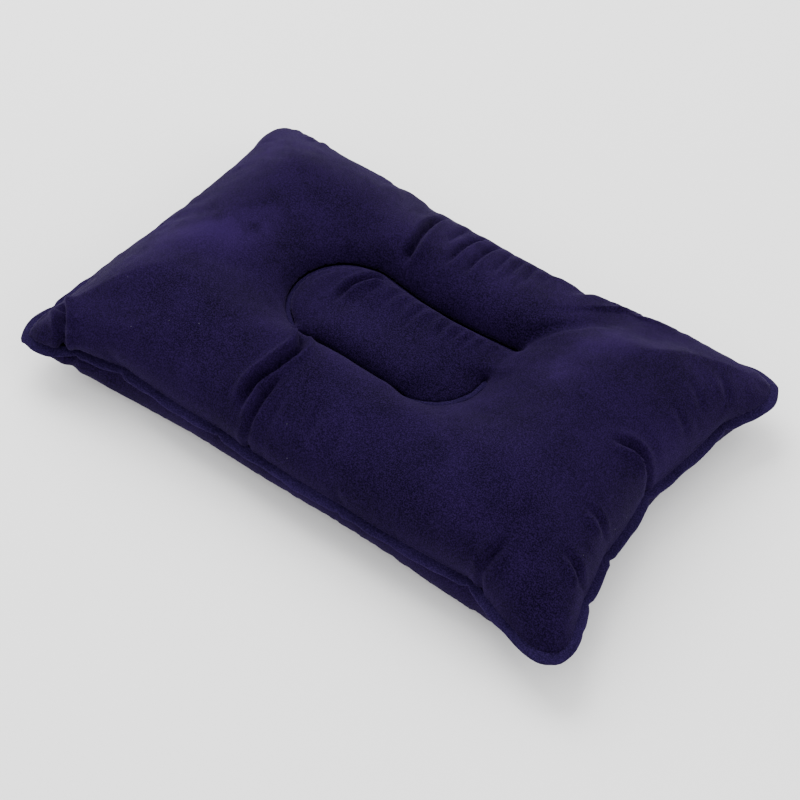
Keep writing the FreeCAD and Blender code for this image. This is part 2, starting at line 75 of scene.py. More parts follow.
# the inflated outline, at the rim weld
HALF_LENGTH, HALF_WIDTH = 0.1507, 0.0992
MIDDLE_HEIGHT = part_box("rim_weld")[0].z / 2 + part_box("rim_weld")[1].z / 2
RIM_DROOP, SEAM_RAISE, ARCH_REACH = 0.0050, 0.0040, 0.045   # the rim hangs lower than the seams
# the seams' hooks are shallower: they stand this much higher, fading over this distance
REAR_HOOK_RAISE, FRONT_HOOK_RAISE, HOOK_REACH, HOOK_START = 0.005, 0.0025, 0.028, 0.006
THICKNESS = 0.87           # share of the simulated height that is kept

# where each side is drawn in, matched to the photograph: (mm along it from its middle, mm drawn in)
DRAWN_IN = {
    "right": [(-76, 3), (-61, 7.5), (-35, 13.5), (6, 18.5), (64, 13.5)],
    "left": [(-70, 1), (-12, 4.5), (40, 8), (75, 7)],
    "front": [(-125, 16), (-100, 20), (-40, 18), (30, 16), (100, 18)],
    "rear": [(-116, 5), (-38, 7), (-14, 13), (20, 17), (66, 17), (92, 11), (118, 2)],
}
# how far each corner's lobe stands out beyond the rectangle: (x sign, y sign) to mm
CORNER_LOBES = {(1, -1): (5, -1), (1, 1): (1, 3), (-1, -1): (-1, -1), (-1, 1): (0, 0)}


# ---------------------------------------------------------------- the flat cut
def rounded_outline(half_x, half_y, radius, step):
    """Points anticlockwise round a rounded rectangle, starting at the +X end of the rear right corner."""
    corners = [(half_x - radius, half_y - radius, 0), (radius - half_x, half_y - radius, 90),
               (radius - half_x, radius - half_y, 180), (half_x - radius, radius - half_y, 270)]
    points = []
    for i, (cx, cy, first) in enumerate(corners):
        n = max(4, round(math.pi / 2 * radius / step))
        for k in range(n + 1):
            a = math.radians(first + 90 * k / n)
            points.append((cx + radius * math.cos(a), cy + radius * math.sin(a)))
        next_x, next_y, angle = corners[(i + 1) % 4]
        a = math.radians(angle)
        here, there = points[-1], (next_x + radius * math.cos(a), next_y + radius * math.sin(a))
        m = round(math.dist(here, there) / step)
        for k in range(1, m):
            points.append((here[0] + (there[0] - here[0]) * k / m, here[1] + (there[1] - here[1]) * k / m))
    return np.array(points)


def seam_path(step, tail, hook):
    """The middle line of a J seam about the island's middle, from its tail round its hook."""
    straight = 2 * SEAM_STRAIGHT + tail
    n = round(straight / step)
    points = [(SEAM_STRAIGHT + tail - straight * k / n, SEAM_RADIUS) for k in range(n + 1)]
    m = round(math.radians(hook) * SEAM_RADIUS / step)
    for k in range(1, m + 1):
        a = math.radians(90 + hook * k / m)
        points.append((-SEAM_STRAIGHT + SEAM_RADIUS * math.cos(a), SEAM_RADIUS * math.sin(a)))
    return np.array(points)


def seam_outline(path, width):
    """A closed outline round a path, that width across."""
    along = np.gradient(path, axis=0)
    along /= np.linalg.norm(along, axis=1)[:, None]
    across = np.stack([-along[:, 1], along[:, 0]], 1)
    left, right = path + across * width / 2, path - across * width / 2
    start, end = path[:1] - along[:1] * width / 2, path[-1:] + along[-1:] * width / 2
    return np.vstack([start, right, end, left[::-1]])


def is_inside(points, outline):
    x, y = points[:, 0], points[:, 1]
    result = np.zeros(len(points), bool)
    j = len(outline) - 1
    for i in range(len(outline)):
        (xi, yi), (xj, yj) = outline[i], outline[j]
        result ^= ((yi > y) != (yj > y)) & (x < (xj - xi) * (y - yi) / (yj - yi + 1e-30) + xi)
        j = i
    return result


def distance_to(points, others):
    result = np.full(len(points), 1e9)
    for i in range(0, len(points), 2000):
        away = points[i:i + 2000, None] - others[None]
        result[i:i + 2000] = np.sqrt((away ** 2).sum(-1)).min(1)
    return result


class FlatCut:
    """Both sheets, cut and laid flat: the upper and lower one share the points along every weld."""

    def __init__(self, step):
        half_x, half_y = CUT_LENGTH / 2, CUT_WIDTH / 2
        weld = rounded_outline(half_x, half_y, CUT_CORNER, step)
        rear = seam_outline(seam_path(step, REAR_TAIL, REAR_HOOK), SEAM_WIDTH) + [ISLAND_X, ISLAND_Y]
        front = [ISLAND_X, ISLAND_Y] - seam_outline(seam_path(step, FRONT_TAIL, FRONT_HOOK), SEAM_WIDTH)
        loops = [weld, rear, front]
        edge = np.vstack(loops)
        row = step * math.sqrt(3) / 2
        rows = [np.stack([xs, np.full(len(xs), y)], 1)
                for r, y in enumerate(np.arange(-half_y, half_y, row))
                for xs in [np.arange(-half_x, half_x, step) + (step / 2 if r % 2 else 0)]]
        grid = np.vstack(rows)
        grid = grid[is_inside(grid, weld)]
        grid = grid[distance_to(grid, edge) > 0.62 * step]
        points = np.vstack([edge, grid])
        edges, first = [], 0
        for loop in loops:
            n = len(loop)
            edges += [(first + i, first + (i + 1) % n) for i in range(n)]
            first += n
        found, _, faces, *_ = delaunay_2d_cdt([Vector(p) for p in points], edges, [], 0, 1e-7)
        points, faces = np.array([tuple(p) for p in found]), np.array(faces)
        middle = points[faces].mean(1)
        faces = faces[is_inside(middle, weld)]
        middle = points[faces].mean(1)
        in_rear, in_front = is_inside(middle, rear), is_inside(middle, front)
        self.weld_count, self.edge_count = len(weld), len(edge)
        self.plain = points.copy()
        points = self.bowed(points)
        shared = np.zeros(len(points), bool)
        shared[:len(edge)] = True
        lower = np.arange(len(points))
        lower[~shared] = len(points) + np.arange((~shared).sum())
        self.single = len(points)
        self.flat = np.vstack([points, points[~shared]])
        self.plain = np.vstack([self.plain, self.plain[~shared]])
        self.top = faces[~(in_rear | in_front)]
        self.bottom = lower[self.top][:, ::-1]
        self.rear, self.front = faces[in_rear], faces[in_front]

    @staticmethod
    def bowed(points):
        """The cut is a little wider beside the seams, which leaves the strips room to fill."""
        y = points[:, 1]
        inner = SEAM_RADIUS + ISLAND_Y * np.sign(y)
        side = np.clip((np.abs(y) - inner) / (CUT_WIDTH / 2 - inner), 0, 1)
        end = 1 - np.clip(np.abs(points[:, 0]) / (CUT_LENGTH / 2), 0, 1) ** 2
        return np.c_[points[:, 0], points[:, 1] + np.sign(points[:, 1]) * CUT_BOW * side * end]


# ---------------------------------------------------------------- inflation
PRESSURE, BEND, SQUEEZE, SEAM_SQUEEZE, SWEEPS, DAMPING = 0.5, 0.05, 0.12, 0.1, 10, 0.93
SEAM_BEND = 0.5            # the fused bands are stiffer than one film
TIME_SCALE = 0.00035       # turns pressure on a point's share of film into its change of speed
LEAST_MASS = 0.5           # lightest point, as a share of the median one
PULL_TO_OUTLINE, PULL_TO_PLANE = 0.5, 0.15
COARSE_STEP, FINE_STEP = 6 * MM, 3 * MM
START_GAP, START_JITTER = 1 * MM, 0.3 * MM   # how the sheets lie before they fill


def edges_of(faces):
    edges = np.vstack([faces[:, [0, 1]], faces[:, [1, 2]], faces[:, [2, 0]]])
    opposite = np.concatenate([faces[:, 2], faces[:, 0], faces[:, 1]])
    edges.sort(axis=1)
    return edges, opposite


def hinge_pairs(faces):
    """The two points across each inner edge, which a spring holds apart against bending."""
    edges, opposite = edges_of(faces)
    key = edges[:, 0].astype(np.int64) * 10 ** 7 + edges[:, 1]
    order = np.argsort(key, kind="stable")
    key, opposite = key[order], opposite[order]
    twin = np.where(key[1:] == key[:-1])[0]
    return np.c_[opposite[twin], opposite[twin + 1]]


def independent_groups(pairs, count):
    """Split the pairs so that no point is in a group twice, and each group can move at once."""
    used, groups = [0] * count, {}
    for i, (a, b) in enumerate(pairs.tolist()):
        taken, c = used[a] | used[b], 0
        while taken >> c & 1:
            c += 1
        used[a] |= 1 << c
        used[b] |= 1 << c
        groups.setdefault(c, []).append(i)
    return [np.array(groups[c]) for c in sorted(groups)]


MOST_BOW, BOW_SHARE = 1.2 * MM, 0.03
LOBE_REACH = 0.024


def drawn_in(side, along, half):
    """How far a side is pulled in, that far along it: runs between kinks, each bowed out a little."""
    at = np.array([-half] + [k[0] * MM for k in DRAWN_IN[side]] + [half])
    depth = np.array([0] + [k[1] * MM for k in DRAWN_IN[side]] + [0])
    i = np.clip(np.searchsorted(at, along) - 1, 0, len(at) - 2)
    t = (along - at[i]) / (at[i + 1] - at[i])
    bow = np.minimum(MOST_BOW, BOW_SHARE * (at[i + 1] - at[i]))
    return np.interp(along, at, depth) - bow * 4 * t * (1 - t)


def inflated_outline(plain):
    """Where the rim weld goes when the pillow fills: its sides are drawn in and its corners stand out."""
    x, y = plain[:, 0] / (CUT_LENGTH / 2) * HALF_LENGTH, plain[:, 1] / (CUT_WIDTH / 2) * HALF_WIDTH
    goal = np.c_[x, y]
    on_end = np.abs(plain[:, 0]) > CUT_LENGTH / 2 - CUT_CORNER * 0.3
    on_side = np.abs(plain[:, 1]) > CUT_WIDTH / 2 - CUT_CORNER * 0.3
    right, left, front, rear = on_end & (x > 0), on_end & (x < 0), on_side & (y < 0), on_side & (y > 0)
    goal[right, 0] -= drawn_in("right", y[right], HALF_WIDTH)
    goal[left, 0] += drawn_in("left", y[left], HALF_WIDTH)
    goal[rear, 1] -= drawn_in("rear", x[rear], HALF_LENGTH)
    goal[front, 1] += drawn_in("front", x[front], HALF_LENGTH)
    for (sign_x, sign_y), (out_x, out_y) in CORNER_LOBES.items():
        away = np.hypot(x - sign_x * HALF_LENGTH, y - sign_y * HALF_WIDTH)
        goal += np.exp(-(away / LOBE_REACH) ** 2)[:, None] * np.array([out_x, out_y]) * MM
    return goal


def inflate(cut, start, steps, ramp, ease=1.0):
    """Blow the flat cut up: pressure pushes each film out, and its threads resist stretching.

    They resist creasing much less. The rim is pulled to inflated_outline over the first ramp steps.
    """
    count = len(cut.flat)
    rest = np.c_[cut.flat, np.zeros(count)]
    panels, seams = np.vstack([cut.top, cut.bottom]), np.vstack([cut.rear, cut.front])
    threads = np.unique(edges_of(np.vstack([panels, seams]))[0], axis=0)
    film_hinges = np.vstack([hinge_pairs(cut.top), hinge_pairs(cut.bottom)])
    seam_hinges = np.vstack([hinge_pairs(cut.rear), hinge_pairs(cut.front)])
    pairs = np.vstack([threads, film_hinges, seam_hinges])
    kinds = [len(threads), len(film_hinges), len(seam_hinges)]
    pull = np.repeat([1.0, BEND, SEAM_BEND], kinds)
    push = np.repeat([SQUEEZE, BEND, SEAM_BEND], kinds)
    welded = np.zeros(count, bool)
    welded[:cut.edge_count] = True
    push[:len(threads)][welded[threads].all(1)] = SEAM_SQUEEZE
    length = np.linalg.norm(rest[pairs[:, 0]] - rest[pairs[:, 1]], axis=1)
    packs = [(pairs[g, 0], pairs[g, 1], length[g], pull[g], push[g])
             for g in independent_groups(pairs, count)]
    a, b, c = (rest[panels[:, i]] for i in range(3))
    area = np.linalg.norm(np.cross(b - a, c - a), axis=1) / 2
    mass = sum(np.bincount(panels[:, i], area, count) / 3 for i in range(3))
    mass = np.maximum(mass, np.median(mass[mass > 0]) * LEAST_MASS)
    weld = np.arange(cut.weld_count)
    flat_weld, goal = cut.flat[weld], inflated_outline(cut.plain[weld])
    x, speed = start.copy(), np.zeros_like(start)
    for k in range(steps):
        a, b, c = (x[panels[:, i]] for i in range(3))
        push_out = np.cross(b - a, c - a) / 6
        force = np.stack([sum(np.bincount(panels[:, i], push_out[:, d], count) for i in range(3))
                          for d in range(3)], 1)
        speed = speed * DAMPING + force / mass[:, None] * ease * PRESSURE * TIME_SCALE
        q = x + speed
        want = flat_weld + (goal - flat_weld) * min(1.0, (k + 1) / ramp)
        for _ in range(SWEEPS):
            for ia, ib, rest_length, resist_pull, resist_push in packs:
                between = q[ib] - q[ia]
                now = np.sqrt((between * between).sum(1)) + 1e-12
                excess = now - rest_length
                share = np.where(excess > 0, resist_pull, resist_push) * 0.5 * excess / now
                move = between * share[:, None]
                q[ia] += move
                q[ib] -= move
            q[weld, :2] += (want - q[weld, :2]) * PULL_TO_OUTLINE
            q[weld, 2] *= 1 - PULL_TO_PLANE
        speed, x = q - x, q
    return x


def carried_over(coarse, shape, fine):
    """The fine cut's points, placed on the coarse inflated shape by where they lie in the flat."""
    placed = np.zeros((len(fine.flat), 3))
    upper = np.vstack([coarse.top, coarse.rear, coarse.front])
    lower = np.vstack([coarse.bottom[:, ::-1], coarse.rear, coarse.front])
    layers = [(np.arange(fine.single), upper), (np.arange(fine.single, len(fine.flat)), lower)]
    for points, faces in layers:
        corner = coarse.plain[faces]
        a, b, c = corner[:, 0], corner[:, 1], corner[:, 2]
        det = (b[:, 0] - a[:, 0]) * (c[:, 1] - a[:, 1]) - (c[:, 0] - a[:, 0]) * (b[:, 1] - a[:, 1])
        for i in range(0, len(points), 500):
            part = points[i:i + 500]
            p = fine.plain[part][:, None]
            px, py = p[..., 0] - a[:, 0], p[..., 1] - a[:, 1]
            v = (px * (c[:, 1] - a[:, 1]) - (c[:, 0] - a[:, 0]) * py) / det
            w = ((b[:, 0] - a[:, 0]) * py - px * (b[:, 1] - a[:, 1])) / det
            inside = np.minimum(np.minimum(v, w), 1 - v - w)
            best = inside.argmax(1)
            rows = np.arange(len(part))
            v, w = np.clip(v[rows, best], 0, 1), np.clip(w[rows, best], 0, 1)
            face = faces[best]
            placed[part] = (shape[face[:, 0]] * (1 - v - w)[:, None] + shape[face[:, 1]] * v[:, None]
                            + shape[face[:, 2]] * w[:, None])
    return placed


def inflated_pillow():
    """Fills the pillow on a coarse cut, then settles a finer one. The result is about the rim plane."""
    coarse = FlatCut(COARSE_STEP)
    rng = np.random.default_rng(SEED)
    start = np.c_[coarse.flat, rng.normal(0, START_JITTER, len(coarse.flat))]
    start[np.unique(coarse.top), 2] += START_GAP
    start[np.unique(coarse.bottom), 2] -= START_GAP
    shape = inflate(coarse, start, steps=160, ramp=60)
    fine = FlatCut(FINE_STEP)
    return fine, inflate(fine, carried_over(coarse, shape, fine), steps=24, ramp=1, ease=0.35)


# ---------------------------------------------------------------- from the rim plane to the row frame
def to_row_frame(points):
    """Stand the shape at its height, a little arched."""
    inward = smooth_step(0, ARCH_REACH, distance_to(points[:, :2], SHAPE[:CUT.weld_count, :2]))
    z = points[:, 2] * THICKNESS + MIDDLE_HEIGHT - RIM_DROOP + (RIM_DROOP + SEAM_RAISE) * inward
    beyond = SEAM_POINTS[:, 0] - ISLAND_X
    on_rear_hook = beyond < -SEAM_STRAIGHT - HOOK_START
    on_front_hook = (beyond > SEAM_STRAIGHT + HOOK_START) & (SEAM_POINTS[:, 1] < ISLAND_Y)
    for hook, lift in ((on_rear_hook, REAR_HOOK_RAISE), (on_front_hook, FRONT_HOOK_RAISE)):
        z += lift * np.exp(-(distance_to(points[:, :2], SEAM_POINTS[hook]) / HOOK_REACH) ** 2)
    return np.c_[points[:, :2], z]


def on_the_floor(z):
    """Flatten what would reach below the floor, with a soft edge to the patch."""
    soft = 0.8 * MM
    return soft * np.logaddexp(0, z / soft)


def smooth_step(low, high, value):
    t = np.clip((value - low) / (high - low), 0, 1)
    return t * t * (3 - 2 * t)


def path_distance(points, path):
    """Distance from each point to a path in plan, how far along it (0 to 1), and on which side."""
    best = np.full(len(points), 1e9)
    along, side = np.zeros(len(points)), np.zeros(len(points))
    total = np.linalg.norm(np.diff(path, axis=0), axis=1).cumsum()
    for i in range(len(path) - 1):
        a, b = path[i], path[i + 1]
        ab = b - a
        t = np.clip(((points - a) @ ab) / (ab @ ab), 0, 1)
        off = points - (a + t[:, None] * ab)
        away = np.hypot(off[:, 0], off[:, 1])
        closer = away < best
        best[closer] = away[closer]
        before = total[i] - np.linalg.norm(ab)
        along[closer] = ((before + t * np.linalg.norm(ab)) / total[-1])[closer]
        side[closer] = np.sign(ab[0] * off[:, 1] - ab[1] * off[:, 0])[closer]
    return best, along, side


def curve_through(points, count=14):
    """A smooth path through two or more points in mm, given back in metres."""
    p = np.array(points, float) * MM
    if len(p) == 2:
        p = np.array([p[0], (p[0] + p[1]) / 2, p[1]])
    t = np.linspace(0, len(p) - 1, count)
    padded = np.vstack([2 * p[0] - p[1], p, 2 * p[-1] - p[-2]])
    result = []
    for value in t:
        i = min(int(value), len(p) - 2)
        f = value - i
        p0, p1, p2, p3 = padded[i:i + 4]
        result.append(0.5 * (2 * p1 + (p2 - p0) * f + (2 * p0 - 5 * p1 + 4 * p2 - p3) * f * f
                             + (3 * p1 - p0 - 3 * p2 + p3) * f ** 3))
    return np.array(result)


# creases, placed to the nearest mm where the photograph shows them: (points in mm in plan, depth mm,
# half width mm, shares of the length that fade in and out, then lip and step as shares of the depth)
TOP_CREASES = [
    # across the rear strip, from the rim
    ([(-34, 86), (-32, 68), (-27, 48), (-26, 36)], 6.0, 1.9, 0.3, 0.15, 0.25, 0.45),
    ([(-9, 84), (-11, 68), (-9, 52), (-9, 44)], 4.6, 1.6, 0.3, 0.4, 0.25, 0.45),
    ([(-20, 84), (-19, 68), (-17, 54)], 2.0, 1.5, 0.3, 0.5, 0.2),
    ([(0, 84), (-1, 68), (1, 52), (2, 44)], 3.6, 1.5, 0.3, 0.4, 0.25, 0.45),
    ([(7, 82), (9, 68), (12, 52)], 2.4, 1.5, 0.3, 0.5, 0.2),
    ([(15, 82), (16, 68), (19, 54)], 1.8, 1.4, 0.3, 0.5, 0.2),
    ([(22, 81), (24, 68), (27, 55)], 1.4, 1.4, 0.3, 0.5, 0.2),
    ([(30, 80), (32, 70), (35, 60)], 0.8, 1.4, 0.3, 0.5, 0.2),
    # across the front strip, the longest from the front seam's tail
    ([(-36, -28), (-27, -41), (-30, -58), (-33, -68), (-31, -82)], 5.4, 1.8, 0.15, 0.25, 0.5, -0.55),
    ([(-24, -56), (-25, -70), (-24, -86)], 3.8, 1.6, 0.4, 0.12, 0.5, -0.45),
    ([(-16, -64), (-15, -76), (-14, -86)], 1.2, 1.5, 0.4, 0.12),
    ([(-3, -50), (3, -68), (5, -82)], 0.9, 2.2, 0.5, 0.4),
    ([(12, -54), (17, -70), (18, -84)], 0.5, 2.2, 0.5, 0.4),
    # across the island
    ([(-26, 27), (-33, 22), (-39, 12), (-38, -4)], 3.4, 1.7, 0.2, 0.5, 0.6, 0.5),
    ([(-46, 23), (-54, 14), (-56, 4), (-52, -4)], 0.8, 1.6, 0.4, 0.5),
    ([(-24, 28), (-28, 18), (-29, 6)], 1.0, 1.4, 0.3, 0.6),
    ([(-16, 28), (-19, 17), (-18, 2)], 1.2, 1.5, 0.3, 0.6),
    ([(-9, 28), (-11, 19), (-11, 8)], 0.8, 1.3, 0.3, 0.6),
    ([(-2, 28), (-4, 17), (-3, 2)], 1.3, 1.4, 0.3, 0.6),
    ([(6, 28), (4, 19), (5, 8)], 1.1, 1.3, 0.3, 0.6),
    ([(12, 28), (11, 18), (13, 6)], 1.6, 1.4, 0.3, 0.6),
    ([(19, 28), (18, 19), (19, 9)], 1.9, 1.3, 0.3, 0.7),
    ([(25, 28), (24, 20), (26, 11)], 1.6, 1.3, 0.3, 0.7),
    ([(31, 28), (30, 22), (31, 15)], 1.2, 1.3, 0.3, 0.7),
    ([(37, 28), (37, 23), (38, 18)], 0.7, 1.3, 0.3, 0.7),
    # from the seams' ends
    ([(44, 36), (54, 45), (67, 54)], 0.6, 2.4, 0.1, 0.7),
    # a broad hollow behind the right end's crown
    ([(76, 86), (90, 72), (100, 52)], 4.0, 20.0, 0.02, 0.5, 0.0, 0.0),
    # where the rim's corners and kinks fold
    ([(-143, -74), (-133, -84), (-124, -97)], 5.4, 1.9, 0.1, 0.1, 0.5, 0.3),
    ([(134, 6), (129, 7), (122, 5), (113, -2)], 4.6, 1.9, 0.05, 0.6, 0.6, 0.6),
    ([(137, 66), (133, 70), (125, 76)], 1.2, 1.9, 0.05, 0.7),
    ([(133, 50), (127, 54), (118, 57)], 0.8, 1.8, 0.05, 0.7),
    ([(134, 36), (127, 38), (119, 38)], 0.8, 1.8, 0.05, 0.7),
    ([(137, -35), (131, -34), (123, -37)], 2.0, 1.8, 0.05, 0.7, 0.5, 0.4),
    ([(143, -62), (136, -59), (126, -60)], 2.4, 1.8, 0.05, 0.7, 0.5, 0.4),
    ([(105, -86), (108, -77), (109, -66)], 3.0, 1.9, 0.05, 0.7, 0.5, 0.3),
    ([(-118, 92), (-116, 83), (-110, 74)], 0.8, 2.0, 0.05, 0.7),
]
# the underside isn't in the photograph: these are invented, in the same places as the upper ones or near
BOTTOM_CREASES = [
    ([(-22, 86), (-18, 68), (-14, 50), (-15, 40)], 2.4, 2.2, 0.15, 0.4),
    ([(2, 85), (3, 68), (6, 52)], 1.6, 1.8, 0.2, 0.6),
    ([(12, 84), (15, 70), (18, 60)], 1.2, 1.6, 0.2, 0.6),
    ([(-36, 86), (-34, 72), (-30, 62)], 1.2, 1.7, 0.2, 0.6),
    ([(-44, -28), (-38, -44), (-34, -62), (-34, -82)], 2.4, 2.2, 0.2, 0.2),
    ([(-18, -84), (-16, -68), (-12, -54)], 1.6, 1.8, 0.2, 0.6),
    ([(6, -84), (6, -70), (9, -56)], 1.0, 1.7, 0.2, 0.6),
    ([(22, -83), (24, -70), (26, -60)], 0.8, 1.7, 0.2, 0.6),
    ([(-34, 31), (-40, 16), (-39, 0), (-34, -12)], 1.5, 2.0, 0.15, 0.6),
    ([(-14, 31), (-17, 16), (-15, 0)], 0.9, 1.7, 0.2, 0.6),
    ([(2, 31), (0, 18), (2, 4)], 0.8, 1.6, 0.2, 0.6),
    ([(18, 31), (16, 20), (18, 8)], 1.0, 1.6, 0.2, 0.6),
    ([(30, 30), (29, 22), (30, 14)], 0.8, 1.5, 0.2, 0.6),
    ([(44, 36), (56, 42), (70, 50)], 1.0, 2.6, 0.1, 0.7),
    ([(-48, -24), (-62, -30), (-78, -34)], 1.0, 3.0, 0.1, 0.7),
    ([(-138, -78), (-130, -84), (-122, -90)], 2.4, 2.4, 0.15, 0.3),
    ([(136, 8), (126, 6), (114, 2)], 1.6, 2.6, 0.1, 0.7),
    ([(134, -62), (124, -66), (112, -70)], 1.2, 2.4, 0.1, 0.7),
    ([(104, -84), (104, -74), (102, -64)], 1.4, 2.4, 0.1, 0.7),
]
RIM_PUCKERS = 90
# each pucker's length, depth and half width in mm, and how much it leans and bends
PUCKER_LENGTHS, PUCKER_DEPTHS, PUCKER_WIDTHS = (6, 19), (0.15, 0.5), (1.3, 2.0)
PUCKER_LEAN, PUCKER_BEND = 0.35, 0.08


# a crease's section, in half widths: sharpness of the valley, where its lip is and how wide, the step's run
VALLEY_POWER, LIP_OFF, LIP_SPREAD, STEP_REACH, STEP_START = 1.3, 1.9, 1.1, 2.5, 0.6


def crease_push(plan, path, depth, width, fade_in=0.25, fade_out=0.25, lip=0.45, step=0.25):
    """How far a crease moves each point outward: a sharp valley, with a rounded lip on one side."""
    away, along, side = path_distance(plan, path)
    strength = smooth_step(0, fade_in, along) * (1 - smooth_step(1 - fade_out, 1, along))
    valley = -np.exp(-(away / width) ** VALLEY_POWER)
    lips = lip * np.exp(-((away - LIP_OFF * width) / (LIP_SPREAD * width)) ** 2)
    run = np.exp(-away / (STEP_REACH * width))
    tilt = step * side * run * (1 - np.exp(-away / (STEP_START * width)))
    return depth * strength * (valley + lips + tilt)


def rim_puckers(rng):
    """Short fine creases that start at the rim weld and fade within a couple of centimetres."""
    rim = SHAPE[:CUT.weld_count, :2] / MM
    found = []
    for _ in range(RIM_PUCKERS):
        i = int(rng.integers(len(rim)))
        along = rim[(i + 1) % len(rim)] - rim[i - 1]
        inward = np.array([-along[1], along[0]]) / np.hypot(*along)
        lean = rng.normal(0, PUCKER_LEAN)
        way = np.array([inward[0] * math.cos(lean) - inward[1] * math.sin(lean),
                        inward[0] * math.sin(lean) + inward[1] * math.cos(lean)])
        length = rng.uniform(*PUCKER_LENGTHS)
        bend = inward[::-1] * [1, -1] * rng.normal(0, PUCKER_BEND * length)
        points = [rim[i] + way, rim[i] + way * length / 2 + bend, rim[i] + way * length]
        found.append((points, rng.uniform(*PUCKER_DEPTHS), rng.uniform(*PUCKER_WIDTHS), 0.05, 0.8))
    return found


# unevenness of a film between its creases: (metres across, height)
UNEVEN = [(22 * MM, 0.45 * MM), (7 * MM, 0.16 * MM)]


def creased(mesh, creases, seed):
    """Press the creases into a film, and leave it slightly uneven between them."""
    points, push = coordinates(mesh), np.zeros(len(mesh.vertices))
    rng = np.random.default_rng(seed)
    for path, depth, width, *rest in creases + rim_puckers(rng):
        line = curve_through(path)
        low, high = line.min(0) - 6 * width * MM, line.max(0) + 6 * width * MM
        near = ((points[:, :2] > low) & (points[:, :2] < high)).all(1)
        push[near] += crease_push(points[near, :2], line, depth * MM, width * MM, *rest)
    for i, p in enumerate(points):
        at = Vector(p) + Vector((0, 0, seed))
        push[i] += sum(height * noise.noise(at / across) for across, height in UNEVEN)
    hold = smooth_step(0, 5 * MM, distance_to(points[:, :2], SHAPE[:CUT.weld_count, :2]))
    push *= 0.35 + 0.65 * hold
    set_coordinates(mesh, points + normals(mesh) * push[:, None])


# ---------------------------------------------------------------- mesh helpers
def new_object(name, mesh):
    obj = bpy.data.objects.new(name, mesh)
    bpy.context.scene.collection.objects.link(obj)
    return obj


def mesh_from(name, points, faces):
    mesh = bpy.data.meshes.new(name)
    mesh.from_pydata([tuple(p) for p in points], [], [tuple(int(i) for i in f) for f in faces])
    mesh.validate()
    return mesh


def used_only(points, faces):
    """The points that these faces use, and the faces renumbered to them."""
    used = np.unique(faces)
    number = np.zeros(len(points), int)
    number[used] = np.arange(len(used))
    return points[used], number[faces]


def coordinates(mesh):
    co = np.zeros(len(mesh.vertices) * 3, np.float32)
    mesh.vertices.foreach_get("co", co)
    return co.reshape(-1, 3).astype(float)


def set_coordinates(mesh, points):
    mesh.vertices.foreach_set("co", points.astype(np.float32).ravel())
    mesh.update()


def normals(mesh):
    n = np.zeros(len(mesh.vertices) * 3, np.float32)
    mesh.vertex_normals.foreach_get("vector", n)
    return n.reshape(-1, 3).astype(float)


def with_modifiers(obj, *modifiers):
    """Apply modifiers, given as (type, settings), and keep the result as the object's own mesh."""
    for kind, settings in modifiers:
        m = obj.modifiers.new(kind.title(), kind)
        for key, value in settings.items():
            setattr(m, key, value)
    graph = bpy.context.evaluated_depsgraph_get()
    final = bpy.data.meshes.new_from_object(obj.evaluated_get(graph), depsgraph=graph)
    obj.modifiers.clear()
    old, obj.data = obj.data, final
    final.name = obj.name
    bpy.data.meshes.remove(old)
    return obj


def shade_smooth(obj):
    obj.data.shade_smooth()
    return obj


def face_outward(mesh):
    bm = bmesh.new()
    bm.from_mesh(mesh)
    bmesh.ops.recalc_face_normals(bm, faces=bm.faces)
    bm.to_mesh(mesh)
    bm.free()


def smooth_sheet(name, points, faces):
    """A film as quads, one level smoother than the simulated mesh."""
    points, faces = used_only(points, faces)
    mesh = mesh_from(name, points, faces)
    bm = bmesh.new()
    bm.from_mesh(mesh)
    bmesh.ops.join_triangles(bm, faces=bm.faces, angle_face_threshold=math.radians(60),
                             angle_shape_threshold=math.radians(60))
    bm.to_mesh(mesh)
    bm.free()
    obj = new_object(name, mesh)
    finer = {"levels": 1, "render_levels": 1, "boundary_smooth": "PRESERVE_CORNERS"}
    return with_modifiers(obj, ("SUBSURF", finer))


# ---------------------------------------------------------------- the films
def seam_lines():
    """Points along both seams in plan: the middles of the simulated bands' faces."""
    return np.vstack([SHAPE[faces].mean(1)[:, :2] for faces in (CUT.rear, CUT.front)])


# how the films are steepened: where the rise starts, how far it reaches, and its height
SEAM_RISE_START, SEAM_RISE_REACH, SEAM_RISE = 2.2 * MM, 15 * MM, 5.5 * MM
RIM_RISE_START, RIM_RISE_REACH = 2.0 * MM, 13 * MM
UPPER_RIM_RISE, LOWER_RIM_RISE = 2.6 * MM, 0.8 * MM
ISLAND_RISE = 3.5 * MM
SOFT_END = 0.75            # share of the seams' rise that is missing round the front hook


def plump(points, sign):
    """Steepen the films beside the seams and the rim, and fill the island a little."""
    away = distance_to(points[:, :2], SEAM_POINTS)
    near = (1 - np.exp(-away / SEAM_RISE_START)) * np.exp(-(away / SEAM_RISE_REACH) ** 2)
    beyond = np.maximum(np.abs(points[:, 0] - ISLAND_X) - SEAM_STRAIGHT, 0)
    island = np.hypot(beyond, points[:, 1] - ISLAND_Y) / SEAM_RADIUS
    crown = ISLAND_RISE * (1 - smooth_step(0.35, 1.0, island))
    from_rim = distance_to(points[:, :2], SHAPE[:CUT.weld_count, :2])
    rim = smooth_step(0, 12 * MM, from_rim)
    edge = (1 - np.exp(-from_rim / RIM_RISE_START)) * np.exp(-(from_rim / RIM_RISE_REACH) ** 2)
    right_end = smooth_step(0, 12 * MM, points[:, 0] - ISLAND_X - SEAM_STRAIGHT)
    soft = 1 - SOFT_END * right_end * (1 - smooth_step(0, 8 * MM, points[:, 1] - ISLAND_Y))
    lifted = points.copy()
    rim_rise = UPPER_RIM_RISE if sign > 0 else LOWER_RIM_RISE
    lifted[:, 2] += sign * (rim * (SEAM_RISE * near * soft + crown) + rim_rise * edge)
    return lifted


